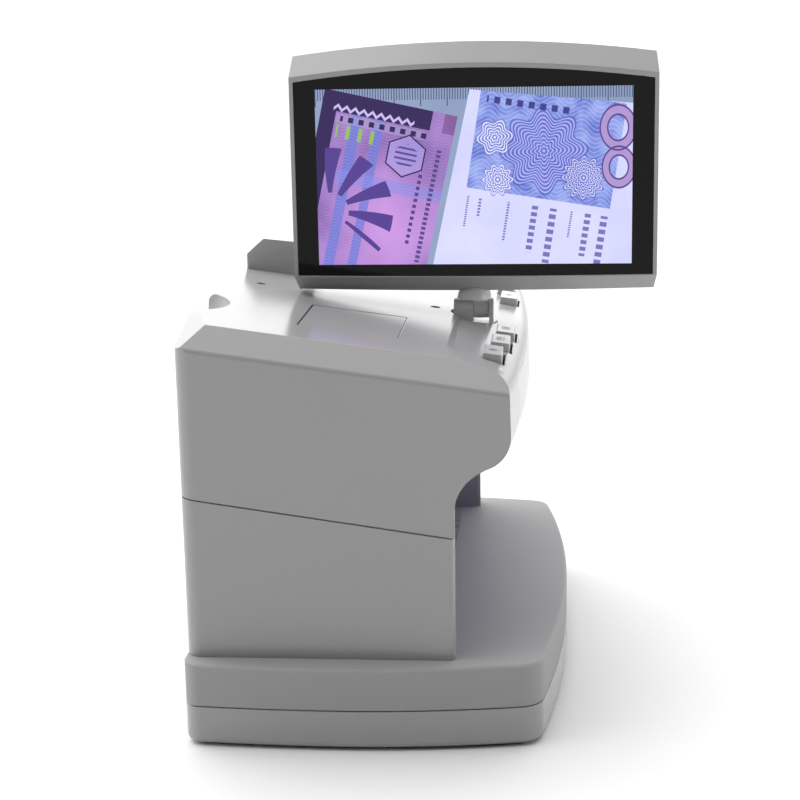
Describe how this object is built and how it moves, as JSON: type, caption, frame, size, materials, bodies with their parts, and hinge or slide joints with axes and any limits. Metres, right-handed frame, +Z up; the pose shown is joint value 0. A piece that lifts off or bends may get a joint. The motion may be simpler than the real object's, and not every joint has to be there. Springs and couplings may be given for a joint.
{
  "type": "banknote detector",
  "caption": "Viewing-type banknote detector: open inspection tray under a lit camera head, a row of push keys, a lid in the deck and a swivelling, tilting flat monitor.",
  "frame": {"origin": "on the floor, under the middle of the bounding box, with the monitor at rest facing -X", "axes": "+Z up, -Y is the front with the open tray and the keys, +X is the right-hand side seen from the front; the body is centred on X = 0"},
  "size_m": [0.278, 0.2118, 0.3026],
  "materials": {
    "housing_light": "fine-textured semi-gloss moulded plastic",
    "key_plastic": "semi-gloss moulded keys with printed symbols",
    "chamber_grey": "satin grey moulded plastic",
    "rubber_black": "matte rubber",
    "steel": "zinc-plated steel",
    "reflector_aluminium": "bright aluminium sheet",
    "lamp_glass": "dark violet lamp glass",
    "clear_glass": "clear polished glass",
    "screen_glass": "black-printed polished front glass",
    "black_plastic": "satin black plastic",
    "board_green": "green solder mask",
    "panel_metal": "plain metal panel frame"
  },
  "bodies": {
    "cabinet": {"base_pan": "housing_light", "base_tray": "housing_light", "rubber_feet": "rubber_black", "base_screws": "steel", "inspection_plate": "chamber_grey", "lower_housing": "housing_light", "upper_housing": "housing_light", "chamber_liner": "chamber_grey", "ceiling_panel": "chamber_grey", "lamp_window_front": "clear_glass", "lamp_window_rear": "clear_glass", "camera_window": "clear_glass", "uv_lamp_front": "lamp_glass", "uv_lamp_rear": "lamp_glass", "lamp_end_caps": "reflector_aluminium", "lamp_sockets": "black_plastic", "lamp_reflectors": "reflector_aluminium", "camera_bracket": "reflector_aluminium", "camera_board": "board_green", "camera_lens": "black_plastic", "lens_glass": "clear_glass", "ir_led_boards": "board_green", "ir_leds": "black_plastic", "main_board": "board_green", "board_connectors": "black_plastic", "power_board": "board_green", "dc_inlet": "black_plastic", "deck_screws": "steel", "raised_cover": "housing_light", "key_board": "board_green", "tact_switches": "black_plastic", "key_board_screws": "steel", "pivot_bushing": "black_plastic"},
    "turret": {"swivel_turret": "housing_light", "swivel_washer": "steel", "swivel_nut": "steel", "tilt_pin": "steel"},
    "monitor": {"monitor_foot": "housing_light", "monitor_bezel": "housing_light", "monitor_glass": "screen_glass", "lcd_panel": "panel_metal", "display_board": "board_green", "monitor_rear_cover": "housing_light", "monitor_screws": "steel"},
    "key_1": {"key_1": "key_plastic"},
    "key_2": {"key_2": "key_plastic"},
    "key_3": {"key_3": "key_plastic"},
    "key_4": {"key_4": "key_plastic"},
    "key_5": {"key_5": "key_plastic"},
    "lid": {"deck_lid": "housing_light"}
  },
  "joints": [
    {"name": "monitor_swivel", "type": "hinge", "parent": "cabinet", "child": "turret", "pos_m": [-0.004, -0.01815, 0.167], "axis": [0, 0, 1], "range_deg": [0, 180]},
    {"name": "monitor_tilt", "type": "hinge", "parent": "turret", "child": "monitor", "pos_m": [-0.004, -0.01815, 0.1739], "axis": [0, 1, 0], "range_deg": [-8, 15]},
    {"name": "key_1_press", "type": "slide", "parent": "cabinet", "child": "key_1", "axis": [0, 0, -1], "range_m": [0, 0.0008], "stiffness_N_per_m": 1200, "springref_m": -0.0008},
    {"name": "key_2_press", "type": "slide", "parent": "cabinet", "child": "key_2", "axis": [0, 0, -1], "range_m": [0, 0.0008], "stiffness_N_per_m": 1200, "springref_m": -0.0008},
    {"name": "key_3_press", "type": "slide", "parent": "cabinet", "child": "key_3", "axis": [0, 0, -1], "range_m": [0, 0.0008], "stiffness_N_per_m": 1200, "springref_m": -0.0008},
    {"name": "key_4_press", "type": "slide", "parent": "cabinet", "child": "key_4", "axis": [0, 0, -1], "range_m": [0, 0.0008], "stiffness_N_per_m": 1200, "springref_m": -0.0008},
    {"name": "key_5_press", "type": "slide", "parent": "cabinet", "child": "key_5", "axis": [0, 0, -1], "range_m": [0, 0.0008], "stiffness_N_per_m": 1200, "springref_m": -0.0008},
    {"name": "lid_lift", "type": "hinge", "parent": "cabinet", "child": "lid", "pos_m": [-0.06255, 0.05585, 0.18062], "axis": [-1, 0, 0], "range_deg": [0, 100]}
  ]
}
